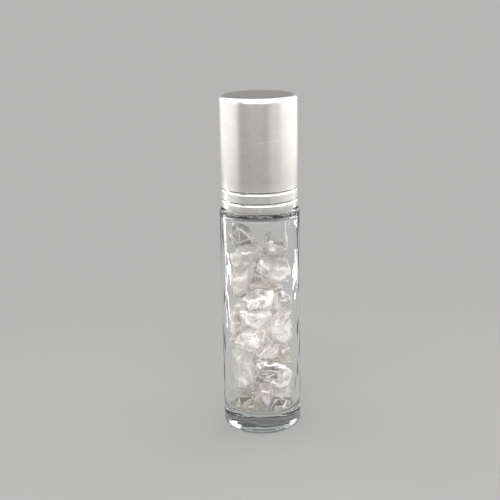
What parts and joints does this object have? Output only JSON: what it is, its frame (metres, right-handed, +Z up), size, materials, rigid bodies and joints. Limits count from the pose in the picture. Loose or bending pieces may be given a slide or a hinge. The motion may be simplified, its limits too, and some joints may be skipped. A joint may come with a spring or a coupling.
{
  "type": "roll-on bottle",
  "caption": "Slim thick-walled glass roll-on bottle that holds loose clear quartz chips, with a steel roller ball under a satin aluminium screw cap.",
  "frame": {"origin": "middle of the base, on the surface that the bottle stands on", "axes": "+Z up along the bottle, -Y towards the front as pictured, +X to the right"},
  "size_m": [0.02, 0.02, 0.086],
  "materials": {
    "clear_glass": "polished clear glass",
    "satin_aluminium": "satin, with two bright-cut grooves",
    "polished_steel": "polished",
    "natural_plastic": "natural moulded plastic, slightly translucent",
    "white_plastic": "white moulded plastic",
    "white_foam": "fine closed-cell foam",
    "clear_quartz": "clear to milky tumbled quartz"
  },
  "bodies": {
    "bottle": {"glass_bottle": "clear_glass", "roller_housing": "natural_plastic", "quartz_chip_01": "clear_quartz", "quartz_chip_02": "clear_quartz", "quartz_chip_03": "clear_quartz", "quartz_chip_04": "clear_quartz", "quartz_chip_05": "clear_quartz", "quartz_chip_06": "clear_quartz", "quartz_chip_07": "clear_quartz", "quartz_chip_08": "clear_quartz", "quartz_chip_09": "clear_quartz", "quartz_chip_10": "clear_quartz", "quartz_chip_11": "clear_quartz", "quartz_chip_12": "clear_quartz", "quartz_chip_13": "clear_quartz", "quartz_chip_14": "clear_quartz", "quartz_chip_15": "clear_quartz", "quartz_chip_16": "clear_quartz", "quartz_chip_17": "clear_quartz", "quartz_chip_18": "clear_quartz", "quartz_chip_19": "clear_quartz", "quartz_chip_20": "clear_quartz", "quartz_chip_21": "clear_quartz", "quartz_chip_22": "clear_quartz", "quartz_chip_23": "clear_quartz", "quartz_chip_24": "clear_quartz", "quartz_chip_25": "clear_quartz", "quartz_chip_26": "clear_quartz", "quartz_chip_27": "clear_quartz", "quartz_chip_28": "clear_quartz", "quartz_chip_29": "clear_quartz", "quartz_chip_30": "clear_quartz", "quartz_chip_31": "clear_quartz", "quartz_chip_32": "clear_quartz"},
    "ball": {"roller_ball": "polished_steel"},
    "disc": {"seal_disc": "white_foam"},
    "cap": {"cap_shell": "satin_aluminium", "inner_cap": "white_plastic"}
  },
  "joints": [
    {"name": "ball_roll", "type": "hinge", "parent": "bottle", "child": "ball", "pos_m": [0, 0, 0.0728], "axis": [1, 0, 0], "continuous": true},
    {"name": "cap_rise", "type": "slide", "parent": "bottle", "child": "disc", "axis": [0, 0, 1], "range_m": [0, 0.0195]},
    {"name": "cap_turn", "type": "hinge", "parent": "disc", "child": "cap", "pos_m": [0, 0, 0.0585], "axis": [0, 0, 1], "range_deg": [0, 2340]}
  ],
  "couplings": [
    {"joint": "cap_rise", "follows": "cap_turn", "m_per_rad": 0.00047746}
  ]
}
